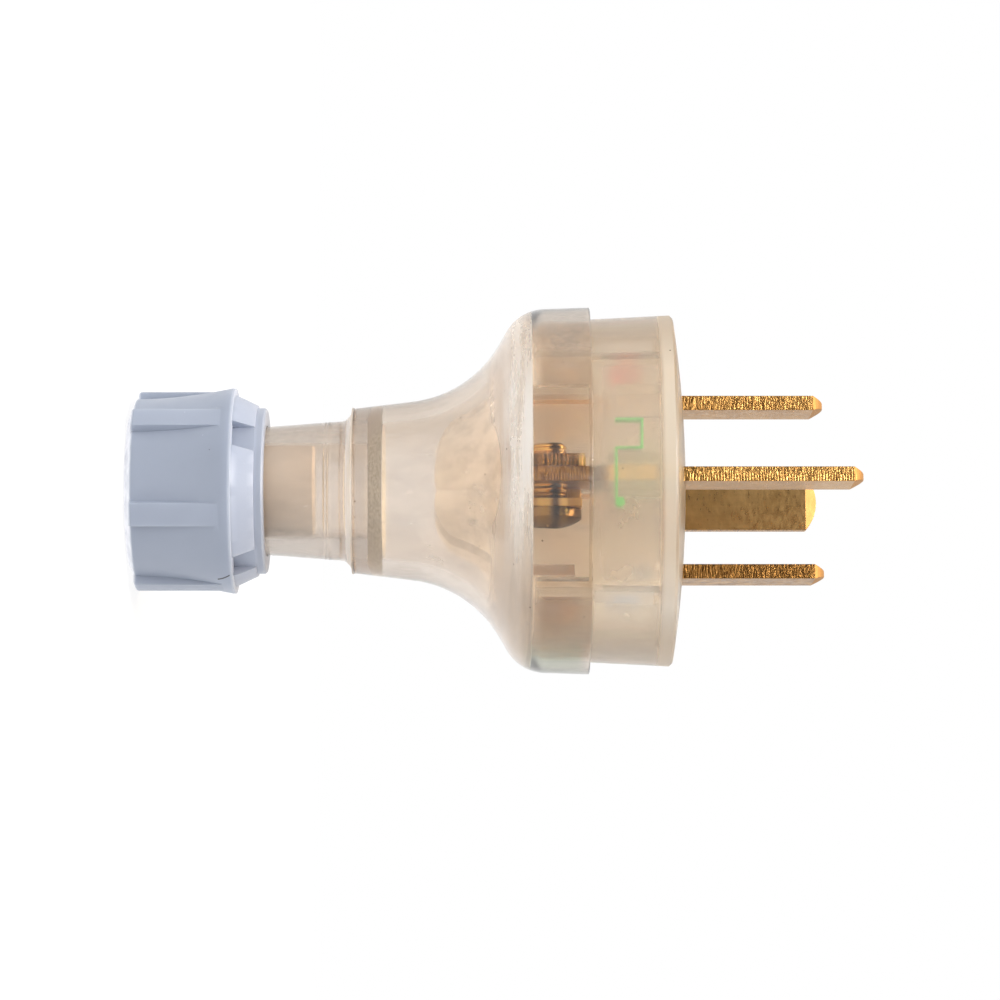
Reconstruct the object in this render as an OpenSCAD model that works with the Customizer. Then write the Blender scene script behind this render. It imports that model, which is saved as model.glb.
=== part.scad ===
// Four-pin flat-blade extension plug: clear bell housing, hazy pin carrier and ribbed gland nut.
// It stands on the gland nut with its axis along Z and the earth pin towards -Y.

/* [Pins] */
// Thickness of every flat pin
pin_t = 1.63; // [1.4:0.01:1.8]
// Width of every flat pin
pin_w = 6.35; // [5.6:0.05:6.6]
// Length of a phase pin in front of the carrier
phase_pin_len = 17.06; // [15:0.01:19]
// Length of the earth pin in front of the carrier
earth_pin_len = 20.7; // [17:0.01:22]
// Radius of the circle that the pin centres sit on
pin_pitch_r = 9.5; // [9:0.1:10]
// Rise of the rounded pin tip across its width
pin_tip_rise = 1.25; // [0.8:0.05:1.6]
// Thickness left at the bevelled pin tip
pin_tip_t = 0.7; // [0.4:0.05:1.2]

/* [Terminals] */
// Height of the terminal screw axis above the plug's foot
terminal_z = 47.4; // [46.5:0.1:48.5]
// Height of the rear end of the pins
pin_rear_z = 44.9; // [44.2:0.1:45.2]
// Radius of the terminal screw's thread
screw_r = 1.38; // [1.2:0.01:1.5]
// Radius of the terminal screw's head
screw_head_r = 3; // [2.4:0.1:3.1]
// Height of the terminal screw's domed head
screw_head_h = 2.0; // [1.6:0.1:2.2]
// Length of screw that shows behind its nut
screw_tail = 1.5; // [0.8:0.1:1.8]
// Thickness of the square terminal nut
nut_plate_t = 1.4; // [1:0.1:1.6]
// Side of the square terminal nut
nut_side = 6.4; // [5.6:0.1:6.6]
// Side of the wire saddle
clamp_side = 6; // [5:0.1:6.2]
// Height of the wire saddle
saddle_h = 2.7; // [2.2:0.1:3]
// Sheet thickness of the wire saddle
saddle_t = 0.9; // [0.6:0.1:1.1]

/* [Bell housing] */
// Radius of the cord bore in the neck
neck_bore_r = 5.4; // [5.2:0.05:5.6]
// Radius of the smooth neck beside the gland nut
neck_r = 7.18; // [7.1:0.02:7.3]
// Radius of the smooth neck beside the throat
neck_top_r = 7.8; // [7.6:0.05:8]
// Radius over the neck's thread
neck_thread_r = 6.85; // [6.6:0.05:6.9]
// Height of the step between neck and throat
throat_z = 24.85; // [24.4:0.05:25.4]
// Radius of the throat above the step
throat_r = 9.25; // [9.1:0.05:9.5]
// Height where the flare starts
flare_z = 31.6; // [31:0.1:32.6]
// Radius of the hollow curve of the flare
flare_curve_r = 12.9; // [11.8:0.1:13.4]
// Radius of the rounded shoulder
shoulder_curve_r = 5.1; // [4.6:0.1:5.6]
// Steepest angle of the flare
flank_angle = 59.7; // [56:0.1:62]
// Length of the straight flank between the two curves
flank_len = 1.8; // [1.4:0.05:2.3]
// Height of the skirt's open edge
skirt_z = 51.35; // [51:0.05:51.6]
// Wall of the skirt
skirt_wall = 1.45; // [1.3:0.05:1.6]
// Wall of the flare
flare_wall = 2; // [1.8:0.1:2.2]

/* [Pin carrier] */
// Height of the edge of the domed pin face
face_z = 60.6; // [60:0.1:61.5]
// Rise of the domed pin face above its edge
face_dome = 1.5; // [0.5:0.1:1.8]
// Radius of the carrier at its pin face
face_r = 19.7; // [19.5:0.05:19.9]
// Radius of the carrier beside the skirt
carrier_r = 19.25; // [19.2:0.01:19.4]
// Wall of the carrier
carrier_wall = 1.4; // [1.2:0.05:1.6]
// Thickness of the pin face at its edge
face_t = 1.7; // [1.6:0.1:2.4]
// Height of the lowest edge of the barrier's lobes
barrier_z = 34.4; // [34.2:0.1:36]
// Wall of the crossed barrier
barrier_t = 1.2; // [0.9:0.1:1.4]
// Gap between the barrier and the inside of the bell
barrier_gap = 0.6; // [0.4:0.05:1]

/* [Gland nut] */
// Radius of the nut's flat end
nut_end_r = 8.65; // [8:0.05:8.8]
// Radius of the panels at the bevel
panel_r = 10.3; // [10:0.05:10.5]
// Radius of the panels at the rim
rim_r = 11.52; // [11.3:0.02:11.7]
// Height of the rim
rim_z = 11.8; // [11.4:0.1:12.2]
// Radius over the ribs
rib_r = 11.34; // [11:0.02:11.4]
// Width of each rib
rib_w = 2.6; // [2:0.1:3.2]
// Number of ribs
rib_count = 6; // [4:1:8]
// Angle of the first rib
rib_clock = -8; // [-30:1:30]
// Height of the top of the cone above the rim
cone_top_z = 14.25; // [14:0.05:14.5]
// Radius of the collar
collar_r = 9.3; // [9.1:0.05:9.5]
// Height of the collar's edge
collar_z = 15.26; // [15:0.02:15.4]
// Radius of the nut's threaded bore
nut_bore_r = 7.1; // [7:0.05:7.2]
// Radius of the cord hole in the nut's end
nut_hole_r = 4.7; // [4.6:0.05:4.9]
// Number of notches in the cone
notch_count = 4; // [3:1:6]
// Width of each notch
notch_w = 3.4; // [2.4:0.1:4]

/* [Cord grip] */
// Inner radius of the cord grip
grip_bore_r = 4.3; // [4:0.05:4.4]
// Outer radius of the cord grip's sleeve
grip_r = 5.1; // [4.9:0.05:5.1]
// Height of the cord grip's inner end
grip_top_z = 20.9; // [19:0.1:22]
// Number of slits between the grip's fingers
slit_count = 6; // [4:1:8]

/* [Hidden] */
$fn = 96;

// Small distance that cutting shapes run past the faces they cut
over = 0.2;
// Points along each drawn curve
curve_steps = 14;

// Clearance of a pin in its slot
pin_play = 0.08;
// Hole in the pin for the screw
hole_play = 0.12;
pin_hole_r = screw_r + hole_play;
// Share of the screw's head that is its straight rim, and points along the head's dome
head_rim_share = 0.5;
head_steps = 8;
// Chamfer of the screw's tip, and the slot in its head
screw_tip_break = 0.4;
drive_w = 0.8;
drive_depth = 0.9;
// Distance of the nut's middle from the screw's axis
nut_shift = 0.2;

// Angle of the throat's draft, and its radius where the flare starts
throat_angle = 6.7;
flare_r = throat_r + (flare_z - throat_z) * tan(throat_angle);
// Draft of the skirt
skirt_angle = 1.9;
// Radius of the hollow under the step, and of the small chamfer on the thread's end
step_curve_r = 1.5;
thread_chamfer = 0.5;
// Heights of the neck's thread
neck_end_z = 4.3;
thread_top_z = 14.6;
// Height where the neck bore opens into the throat, and the length of that cone
bore_top_z = 26.9;
bore_cone_h = 1.5;

// Seat of the carrier inside the skirt
seat_z = 45;
seat_play = 0.15;
skirt_draft = 0.12;
// Edge break of the carrier's pin face
face_break = 0.3;
// Sides of the wide window beside the earth pin, and of the windows over the other screws' heads
earth_window_x = [-8.8, 11.4];
phase_window_x = [-3.6, 3.6];
// Inner reach and top of all windows in the carrier's spigot
window_rho = 12.4;
window_top_z = 51;
// Wall and rear face of the guide blocks round the pins
guide_wall = 1.2;
guide_z = 53.3;
// Radius and place of the barrier's rear lobes, and the angle where each lobe ends
lobe_r = 9;
lobe_rho = 3;
lobe_end = 306;
// Rise from the lobe's lowest edge to where the barrier starts to follow the bell
flank_rise = 2.1;

// Colour tabs: inner and outer radius, sheet, and the folded outline's stations
tab_in_rho = 13.95;
tab_out_rho = 15.6;
tab_t = 0.22;
tab_x = [-5.4, -2.4, 3.2];
tab_low_z = 53.95;
tab_high_z = 56.95;
tab_bead_r = 0.5;
// Distance that the tabs of the phase pins sit nearer to the axis than the earth pin's tab
phase_tab_shift = 2.3;
// Far side of the block beside the tab, and its clearance
seat_end_x = -9;
tab_play = 0.1;

// Gland nut details
bevel_h = 0.75;
panel_curve = 1.8;
rim_lip = 0.4;
rim_step_r = 10.75;
cone_top_r = 9.6;
collar_break = 0.2;
mouth_r = 7.34;
mouth_h = 0.95;
mouth_cone_h = 0.5;
rib_start_z = 0.6;
rib_end_r = 0.45;
rib_root_r = 9.2;
rib_steps = 6;
hole_h = 1.1;
seat_cone_top_z = 3.6;
// Angle between the first rib and the first notch
notch_clock = -21;

// Cord grip details
grip_foot_z = 1.9;
grip_foot_r = 5.2;
grip_cone_z = 3.4;
grip_flange_r = 6.6;
grip_flange_z = 4;
slit_w = 0.8;
slit_top_z = 8;
grip_break = 0.3;

// Colours
clear_tone = [0.89, 0.84, 0.8, 0.45];
haze_tone = [0.82, 0.76, 0.69, 0.7];
nut_tone = [0.63, 0.66, 0.73];
grip_tone = [0.8, 0.73, 0.66];
brass_tone = [0.78, 0.62, 0.36];
earth_tone = [0.25, 0.6, 0.2];
red_tone = [0.75, 0.2, 0.15];
white_tone = [0.9, 0.89, 0.86];
blue_tone = [0.4, 0.48, 0.62];

// Angles of the phase stations about Z
red_angle = 180;
white_angle = 90;
blue_angle = 0;

// Points of an arc in (radius, height): centre, curve radius, start and end angle
function arc(c, r, a0, a1, n = curve_steps) =
    [for (i = [0 : n]) let (a = a0 + (a1 - a0) * i / n) [c[0] + r * cos(a), c[1] + r * sin(a)]];

// Outline of the flare at a depth t under the outer surface, from the throat to the skirt.
// A hollow curve, a straight flank and a round shoulder meet on common tangents.
function flare_line(t) =
    let (
        hollow_c = [flare_r + flare_curve_r * cos(throat_angle),
                    flare_z - flare_curve_r * sin(throat_angle)],
        hollow_end = hollow_c + flare_curve_r * [-cos(flank_angle), sin(flank_angle)],
        flank_end = hollow_end + flank_len * [sin(flank_angle), cos(flank_angle)],
        shoulder_c = flank_end + shoulder_curve_r * [-cos(flank_angle), sin(flank_angle)]
    )
    concat(
        arc(hollow_c, flare_curve_r + t, 180 - throat_angle, 180 - flank_angle),
        arc(shoulder_c, shoulder_curve_r - t, -flank_angle, -skirt_angle)
    );

// Radius of the skirt at a height, following its draft from the end of the shoulder
function skirt_r(z) =
    let (start = flare_line(0)[2 * curve_steps + 1]) start[0] + (z - start[1]) * tan(skirt_angle);

// Part of the inner flare that lies above the throat's bore and below the carrier's seat
function inner_flare() =
    [for (p = flare_line(flare_wall)) if (p[1] > bore_top_z + bore_cone_h && p[1] < seat_z) p];

module rear_housing() {
    inner = inner_flare();
    throat_bore_r = inner[0][0] - (inner[0][1] - bore_top_z - bore_cone_h) * tan(throat_angle);
    seat_r = inner[len(inner) - 1][0];
    skirt_in_r = skirt_r(skirt_z) - skirt_wall;
    color(clear_tone)
    rotate_extrude()
    polygon(concat(
        [[neck_bore_r, neck_end_z],
         [neck_thread_r - thread_chamfer, neck_end_z],
         [neck_thread_r, neck_end_z + thread_chamfer],
         [neck_thread_r, thread_top_z],
         [neck_r, thread_top_z + neck_r - neck_thread_r]],
        arc([neck_top_r + step_curve_r, throat_z - step_curve_r], step_curve_r, 180, 90),
        flare_line(0),
        [[skirt_r(skirt_z), skirt_z],
         [skirt_in_r, skirt_z],
         [skirt_in_r - skirt_draft, seat_z],
         [seat_r, seat_z]],
        [for (i = [len(inner) - 1 : -1 : 0]) inner[i]],
        [[throat_bore_r, bore_top_z + bore_cone_h],
         [neck_bore_r, bore_top_z]]
    ));
}

// Places a pin station: the earth pin stands radially, the phase pins lie across their radius
module at_earth() {
    translate([0, -pin_pitch_r, 0]) children();
}

module at_phase(angle) {
    rotate([0, 0, angle]) translate([pin_pitch_r, 0, 0]) children();
}

module at_every_pin() {
    at_earth() children();
    for (a = [red_angle, white_angle, blue_angle]) at_phase(a) children();
}

// Turns a tab, seat or window drawn beside the earth pin to one of the four stations
module at_quarter(i) {
    rotate([0, 0, 90 * i]) children();
}

// The phase pins lie across their radius, so their tabs sit nearer to the axis
module at_tab(i) {
    at_quarter(i) translate([0, i == 0 ? 0 : phase_tab_shift, 0]) children();
}

// One quarter of the crossed barrier, drawn in (radius, height)
module barrier_outline() {
    lobe_c = [lobe_rho, barrier_z + lobe_r];
    axis_angle = 180 + acos(lobe_rho / lobe_r);
    polygon(concat(
        [[0, face_z - face_t / 2]],
        arc(lobe_c, lobe_r, axis_angle, lobe_end),
        [for (p = flare_line(flare_wall + barrier_gap))
            if (p[1] > barrier_z + flank_rise && p[1] < seat_z) p],
        [[carrier_r - carrier_wall, seat_z + seat_play],
         [carrier_r - carrier_wall, face_z - face_t / 2]]
    ));
}

module barrier() {
    for (i = [0 : 3])
        rotate([0, 0, 45 + 90 * i])
        rotate([90, 0, 0])
        linear_extrude(height = barrier_t, center = true)
        barrier_outline();
}

// Hollow cup: domed pin face, drafted wall and the thinner spigot that slides into the skirt
module carrier_cup() {
    spigot_r = skirt_r(skirt_z) - skirt_wall - skirt_draft - seat_play;
    inner_r = spigot_r - carrier_wall;
    shoulder_z = skirt_z + seat_play;
    edge_r = face_r - face_break;
    dome_r = (edge_r * edge_r + face_dome * face_dome) / (2 * face_dome);
    dome_angle = asin(edge_r / dome_r);
    rotate_extrude()
    polygon(concat(
        [[0, face_z - face_t],
         [inner_r, face_z - face_t],
         [inner_r, seat_z + seat_play],
         [spigot_r, seat_z + seat_play],
         [spigot_r, shoulder_z],
         [carrier_r, shoulder_z],
         [face_r, face_z - face_break]],
        arc([0, face_z + face_dome - dome_r], dome_r, 90 - dome_angle, 90)
    ));
}

// Stepped seat that carries one colour tab, beside the earth pin
module tab_seat() {
    depth = tab_out_rho - tab_in_rho;
    floor_z = face_z - face_t + over;
    translate([tab_x[1] + tab_t, -tab_out_rho, tab_low_z + tab_t])
        cube([tab_x[2] - tab_x[1] - 2 * tab_t, depth, floor_z - tab_low_z - tab_t]);
    translate([tab_x[0], -tab_out_rho, tab_high_z])
        cube([tab_x[1] - tab_x[0] + 2 * tab_t, depth, floor_z - tab_high_z]);
    translate([seat_end_x, -tab_out_rho, tab_low_z])
        cube([tab_x[0] - tab_play - seat_end_x, depth, floor_z - tab_low_z]);
}

// Space of a window that opens the spigot's wall between two sides
module window(sides) {
    translate([sides[0], -face_r - over, seat_z - over])
        cube([sides[1] - sides[0], face_r - window_rho + over, window_top_z - seat_z + over]);
}

module pin_carrier() {
    guide_size = [pin_t + 2 * guide_wall, pin_w + 2 * guide_wall, face_z - face_t / 2 - guide_z];
    slot_size = [pin_t + 2 * pin_play, pin_w + 2 * pin_play, face_z];
    color(haze_tone)
    difference() {
        union() {
            carrier_cup();
            barrier();
            at_every_pin()
                translate([-guide_size[0] / 2, -guide_size[1] / 2, guide_z]) cube(guide_size);
            for (i = [0 : 3]) at_tab(i) tab_seat();
        }
        at_every_pin()
            translate([-slot_size[0] / 2, -slot_size[1] / 2, seat_z]) cube(slot_size);
        at_quarter(0) window(earth_window_x);
        for (i = [1 : 3]) at_quarter(i) window(phase_window_x);
    }
}

// Shell of the gland nut: bevelled foot, flared panels, rim, cone and collar
module nut_shell() {
    panel_h = rim_z - rim_lip - bevel_h;
    panels = [for (i = [0 : curve_steps]) let (f = i / curve_steps)
        [panel_r + (rim_r - panel_r) * pow(f, panel_curve), bevel_h + panel_h * f]];
    rotate_extrude()
    polygon(concat(
        [[nut_hole_r, 0], [nut_end_r, 0]],
        panels,
        [[rim_r, rim_z],
         [rim_step_r, rim_z],
         [cone_top_r, cone_top_z],
         [collar_r, cone_top_z],
         [collar_r, collar_z - collar_break],
         [collar_r - collar_break, collar_z],
         [mouth_r, collar_z],
         [mouth_r, collar_z - mouth_h],
         [nut_bore_r, collar_z - mouth_h - mouth_cone_h],
         [nut_bore_r, seat_cone_top_z],
         [nut_hole_r, hole_h]]
    ));
}

// Six straight ribs, all cut from one ring with a rounded foot
module nut_ribs() {
    intersection() {
        rotate_extrude()
        polygon(concat(
            [[rib_root_r, rim_z - rim_lip], [rib_root_r, rib_start_z]],
            arc([rib_r - rib_end_r, rib_start_z + rib_end_r], rib_end_r, -90, 0, rib_steps),
            [[rib_r, rim_z - rim_lip]]
        ));
        for (i = [0 : rib_count - 1])
            rotate([0, 0, rib_clock + 360 / rib_count * i])
            translate([0, -rib_w / 2, 0])
            cube([rib_r + over, rib_w, rim_z]);
    }
}

module gland_nut() {
    color(nut_tone)
    difference() {
        union() {
            nut_shell();
            nut_ribs();
        }
        for (i = [0 : notch_count - 1])
            rotate([0, 0, rib_clock + notch_clock + 360 / notch_count * i])
            translate([collar_r, -notch_w / 2, rim_z])
            cube([rim_r - collar_r, notch_w, cone_top_z - rim_z]);
    }
}

// Slit sleeve: its conical fingers sit in the nut's seat and its plain end in the neck bore
module cord_grip() {
    color(grip_tone)
    difference() {
        rotate_extrude()
        polygon([
            [grip_bore_r, grip_foot_z],
            [grip_foot_r, grip_foot_z],
            [grip_flange_r, grip_cone_z],
            [grip_flange_r, grip_flange_z],
            [grip_r, grip_flange_z],
            [grip_r, grip_top_z - grip_break],
            [grip_r - grip_break, grip_top_z],
            [grip_bore_r, grip_top_z]
        ]);
        for (i = [0 : slit_count - 1])
            rotate([0, 0, 360 / slit_count * i])
            translate([0, -slit_w / 2, grip_foot_z - over])
            cube([grip_flange_r + over, slit_w, slit_top_z - grip_foot_z + over]);
    }
}

// Flat pin with a round tip bevelled on both faces and a hole for its terminal screw
module flat_pin(length) {
    tip_z = face_z + length;
    tip_curve_r = (pow(pin_w / 2, 2) + pow(pin_tip_rise, 2)) / (2 * pin_tip_rise);
    tip_angle = asin(pin_w / 2 / tip_curve_r);
    color(brass_tone)
    difference() {
        intersection() {
            rotate([90, 0, 90])
                linear_extrude(height = pin_t, center = true)
                polygon(concat(
                    [[-pin_w / 2, pin_rear_z], [pin_w / 2, pin_rear_z]],
                    arc([0, tip_z - tip_curve_r], tip_curve_r, 90 - tip_angle, 90 + tip_angle)
                ));
            rotate([90, 0, 0])
                linear_extrude(height = pin_w + over, center = true)
                polygon([
                    [-pin_t / 2, pin_rear_z],
                    [pin_t / 2, pin_rear_z],
                    [pin_t / 2, tip_z - pin_tip_rise],
                    [pin_tip_t / 2, tip_z],
                    [-pin_tip_t / 2, tip_z],
                    [-pin_t / 2, tip_z - pin_tip_rise]
                ]);
        }
        translate([0, 0, terminal_z])
            rotate([0, 90, 0])
            cylinder(r = pin_hole_r, h = pin_t + over, center = true);
    }
}

// Slotted screw along +X through saddle, pin and nut, with a domed head
module terminal_screw() {
    head_x = pin_t / 2 + saddle_h;
    tail_x = -pin_t / 2 - nut_plate_t - screw_tail;
    rim_h = screw_head_h * head_rim_share;
    dome_h = screw_head_h - rim_h;
    dome_r = (screw_head_r * screw_head_r + dome_h * dome_h) / (2 * dome_h);
    color(brass_tone)
    translate([0, 0, terminal_z])
    rotate([0, 90, 0])
    difference() {
        rotate_extrude()
        polygon(concat(
            [[0, tail_x],
             [screw_r - screw_tip_break, tail_x],
             [screw_r, tail_x + screw_tip_break],
             [screw_r, head_x],
             [screw_head_r, head_x]],
            arc([0, head_x + screw_head_h - dome_r], dome_r, asin((dome_r - dome_h) / dome_r), 90, head_steps)
        ));
        translate([-screw_head_r, -drive_w / 2, head_x + screw_head_h - drive_depth])
            cube([2 * screw_head_r, drive_w, drive_depth + over]);
    }
}

// Square nut behind the pin
module terminal_nut() {
    color(brass_tone)
    translate([-pin_t / 2 - nut_plate_t, 0, terminal_z])
    difference() {
        translate([0, -nut_side / 2, -nut_side / 2 + nut_shift])
            cube([nut_plate_t, nut_side, nut_side]);
        rotate([0, 90, 0])
            translate([0, 0, -over]) cylinder(r = screw_r, h = nut_plate_t + 2 * over);
    }
}

// Angle-shaped saddle that holds the wire against the pin: a plate under the screw's head and one leg
module wire_saddle() {
    color(brass_tone)
    translate([pin_t / 2, 0, terminal_z])
    difference() {
        translate([0, -clamp_side / 2, -clamp_side / 2])
            cube([saddle_h, clamp_side, clamp_side]);
        translate([-over, -clamp_side / 2 - over, -clamp_side / 2 - over])
            cube([saddle_h - saddle_t + over, clamp_side - saddle_t + over, clamp_side + 2 * over]);
        rotate([0, 90, 0]) cylinder(r = pin_hole_r, h = saddle_h + over);
    }
}

// Folded strip of coloured plastic that marks one terminal, drawn beside the earth pin
module colour_tab(tone) {
    color(tone)
    translate([0, -tab_in_rho, 0])
    rotate([90, 0, 0])
    linear_extrude(height = tab_out_rho - tab_in_rho)
    union() {
        polygon([
            [tab_x[0], tab_low_z],
            [tab_x[0] + tab_t, tab_low_z],
            [tab_x[0] + tab_t, tab_high_z - tab_t],
            [tab_x[1], tab_high_z - tab_t],
            [tab_x[1], tab_low_z],
            [tab_x[2], tab_low_z],
            [tab_x[2], tab_low_z + tab_t],
            [tab_x[1] + tab_t, tab_low_z + tab_t],
            [tab_x[1] + tab_t, tab_high_z],
            [tab_x[0], tab_high_z]
        ]);
        translate([tab_x[2] + tab_bead_r - tab_t, tab_low_z + tab_bead_r]) circle(r = tab_bead_r);
    }
}

rear_housing();
pin_carrier();
gland_nut();
cord_grip();
at_earth() flat_pin(earth_pin_len);  // earth_pin
at_phase(red_angle) flat_pin(phase_pin_len);  // phase_pin_red
at_phase(white_angle) flat_pin(phase_pin_len);  // phase_pin_white
at_phase(blue_angle) flat_pin(phase_pin_len);  // phase_pin_blue
at_earth() terminal_screw();  // terminal_screw_earth
at_phase(red_angle) terminal_screw();  // terminal_screw_red
at_phase(white_angle) terminal_screw();  // terminal_screw_white
at_phase(blue_angle) terminal_screw();  // terminal_screw_blue
at_earth() terminal_nut();  // terminal_nut_earth
at_phase(red_angle) terminal_nut();  // terminal_nut_red
at_phase(white_angle) terminal_nut();  // terminal_nut_white
at_phase(blue_angle) terminal_nut();  // terminal_nut_blue
at_earth() wire_saddle();  // wire_saddle_earth
at_phase(red_angle) wire_saddle();  // wire_saddle_red
at_phase(white_angle) wire_saddle();  // wire_saddle_white
at_phase(blue_angle) wire_saddle();  // wire_saddle_blue
at_tab(0) colour_tab(earth_tone);  // colour_tab_earth
at_tab(1) colour_tab(blue_tone);  // colour_tab_blue
at_tab(2) colour_tab(white_tone);  // colour_tab_white
at_tab(3) colour_tab(red_tone);  // colour_tab_red
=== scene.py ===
import bpy
import bmesh
import math
from types import SimpleNamespace
from mathutils import Matrix, Vector


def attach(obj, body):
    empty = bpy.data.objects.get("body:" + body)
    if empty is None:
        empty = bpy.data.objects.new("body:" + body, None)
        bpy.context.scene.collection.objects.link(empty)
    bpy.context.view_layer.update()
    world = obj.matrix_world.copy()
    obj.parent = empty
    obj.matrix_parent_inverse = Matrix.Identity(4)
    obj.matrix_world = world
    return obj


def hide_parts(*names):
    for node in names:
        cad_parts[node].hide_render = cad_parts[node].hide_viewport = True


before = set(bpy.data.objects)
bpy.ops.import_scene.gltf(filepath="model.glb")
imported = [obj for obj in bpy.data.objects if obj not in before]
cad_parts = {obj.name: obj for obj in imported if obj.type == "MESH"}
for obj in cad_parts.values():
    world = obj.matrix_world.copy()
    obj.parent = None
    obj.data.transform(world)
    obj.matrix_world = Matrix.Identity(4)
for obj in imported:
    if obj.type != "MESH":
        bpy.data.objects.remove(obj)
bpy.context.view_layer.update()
scene = bpy.context.scene

# Sizes and places are in millimetres in the part's frame, noise scales per millimetre, angles in degrees
MM = 0.001

# Profile of the bell
NECK_BORE = 5.4
NECK_END = 4.3
NECK_LOW = 7.18
NECK_HIGH = 7.8
THREAD_R = 6.85
THREAD_ROOT = 6.55
THREAD_TOP = 14.6
THREAD_PITCH = 1.75
THREAD_CHAMFER = 0.5
THREAD_START = NECK_END + 0.6
THREAD_STOP = THREAD_TOP - 0.1
THREAD_FADE = 0.8
THREAD_CREST = 0.12
THREAD_SLOPE = 6
FLASH_Z = 22.05
FLASH_RIDGES = (-0.22, 0.2)
FLASH_HALF = 0.1
FLASH_HEIGHT = 0.055
FLASH_ZONE = 0.5
STEP_R = 1.5
THROAT_Z = 24.85
THROAT_R = 9.25
THROAT_LIP = 0.12
THROAT_LIP_HEIGHT = 0.3
DRAFT = 6.7
FLARE_Z = 31.6
FLARE_CURVE = 12.9
FLARE_WALL = 2.0
FLANK = 59.7
FLANK_LEN = 1.8
SHOULDER = 5.1
SKIRT_ANGLE = 1.9
SKIRT_Z = 51.35
SKIRT_WALL = 1.45
SEAT_Z = 45.0
SEAT_DRAFT = 0.12
BORE_TOP = 26.9
BORE_CONE = 1.5
BELL_STEP = 0.45
BELL_SEGMENTS = 240
BELL_SHARP_ANGLE = 40
NECK_LOW_Z = THREAD_TOP + NECK_LOW - THREAD_R
NECK_HIGH_Z = THROAT_Z - STEP_R
FLARE_R = THROAT_R + (FLARE_Z - THROAT_Z) * math.tan(math.radians(DRAFT))

# Frosted, worn and dirty zones of the bell. Two values are where a zone starts and where it is full,
# three are the ends of a band and how soft they are
HAZE_FADE = (45.5, 43.0)
DULL_RISE = (40.5, 43.0)
DULL_TOP = SEAT_Z - 0.05
SEAT_FACE = (SEAT_Z - 0.1, SEAT_Z + 0.1, 0.03)
SEAT_REACH = 19.2
# Sheen ring on the outer shoulder: frosted, with a pale tone that is a painted highlight fading towards +X
SHEEN_FROST_RISE = (41.6, 43.2)
SHEEN_FROST_TOP = SEAT_Z - 0.1
SHEEN_FROST_FADE_X = (4.0, 13.0)
OVAL_Z = 41.2
OVAL_HALF_WIDTH = 5.5
OVAL_HALF_HEIGHT = 1.5
STEP_FACE = (24.3, 25.0, 0.1)
FROST_BAND = (BORE_TOP, BORE_TOP + BORE_CONE, 0.12)
NECK_FADE = (27.5, 26.0)
NECK_SIDES = (4.0, 5.2)
SMEAR_RISE = (34.0, 39.0)
BORE_STREAK_SIDES = (4.4, 5.2, 0.4)
SCRAPE_X = (-16.4, -12.8, 1.4)
SCRAPE_Z = (46.6, 50.6, 0.9)
# Green patch on the lower skirt: a painted reflection of the green tab
GREEN_REFLECTION_X = (17.6, 19.2)
GREEN_REFLECTION_Z = (44.0, 50.5, 0.6)
# The bell is painted darker towards its lower side (+X) and at its upper flank (-X), as painted shade
BELL_LOWER_SHADE_X = (2.0, 19.0)
BELL_UPPER_EDGE_SHADE = (-0.6, -0.95)  # x as a share of the radius
# The pale painted highlight is painted darker towards its upper and lower sides
HIGHLIGHT_UPPER_FADE_X = (-6.0, -14.0)
HIGHLIGHT_LOWER_FADE_X = (4.0, 14.0)
SATIN_FADE = (47.5, 44.5)
WAVE_RISE = (31.0, 37.0)

# Zones of the pin carrier
WALL_RISE = (16.6, 17.2)
CUP_RISE = (51.2, 51.7)
FRONT_RISE = (58.6, 59.3)
REAR_RISE = (46.5, 44.5)
ARM_FADE = (51.5, 53.0)
RED_STRIP_X = (-9.1, -8.2, 0.2)
RED_STRIP_TOP = 53.5
BLUE_STRIP_X = (9.6, 11.2, 0.2)
BLUE_STRIP_TOP = 49.6
ROOT_TURN = (0.494, 0.499)  # x times y as a share of the squared radius
ROOT_TOP = 58.0
FLANK_RISE = (12.5, 13.8)
GLOW_CORE = 1.0
LOWER_WALL_X = (9.0, 14.0)
# The carrier is painted darker towards its lower and upper sides, as painted shade
CARRIER_LOWER_SHADE_X = (14.5, 18.0)
CARRIER_UPPER_SHADE_X = (-11.0, -16.0)

# Zones of the gland nut, where the foot, rim and cone are painted paler as painted highlight, and of its
# hair
FOOT_HIGHLIGHT_FADE = (0.9, 0.6)
RIM_HIGHLIGHT_BAND = (11.58, 11.85, 0.06)
CONE_HIGHLIGHT_BAND = (11.9, 14.5, 0.2)
HAIR_Z = (10.1, 11.5)
HAIR_SIDE = 9.78
HAIR_BEND = -0.45
HAIR_EDGE = (0.09, 0.04)
HAIR_SOFT = 0.03
HAIR_ACROSS = (0.989, 0.148, 0.0)

# Zones of the brass pieces
SCREW_Y = -9.5
SCREW_Z = 47.4
SCREW_R = 1.5
SCREW_PITCH = 0.6
# The screw head's lower part is painted dark, as painted shade
SCREW_HEAD_SHADE_X = (1.8, 2.2)
BAND_SOFT = 0.2
# Gleam bands are painted highlights and shade bands are painted shade, on the saddle, screw, nut and earth
# pin
GLEAMS = ((46.2, 46.9), (48.1, 48.8))
SADDLE_SHADE = ((47.2, 47.8),)
NUT_GLEAM = ((50.1, 50.9),)
PIN_SHADE = ((51.5, 53.0),)
PIN_TEETH = 0.31
NUT_TEETH = 0.42
NUT_TEETH_X = -10.0
TEETH_SOFT = 0.15
PIN_REAR = (54.0, 52.5)
# Held stretch of a pin: painted pale glow
PIN_HELD = (53.5, 58.5, 0.3)
PIN_TIP = (72.0, 74.0)


# Node helpers
def plug_in(nt, n, ins):
    """Links a node's inputs to outputs of other nodes, or sets plain values on them."""
    for key, value in ins.items():
        if isinstance(value, bpy.types.NodeSocket):
            nt.links.new(value, n.inputs[key])
        else:
            n.inputs[key].default_value = value


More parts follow.
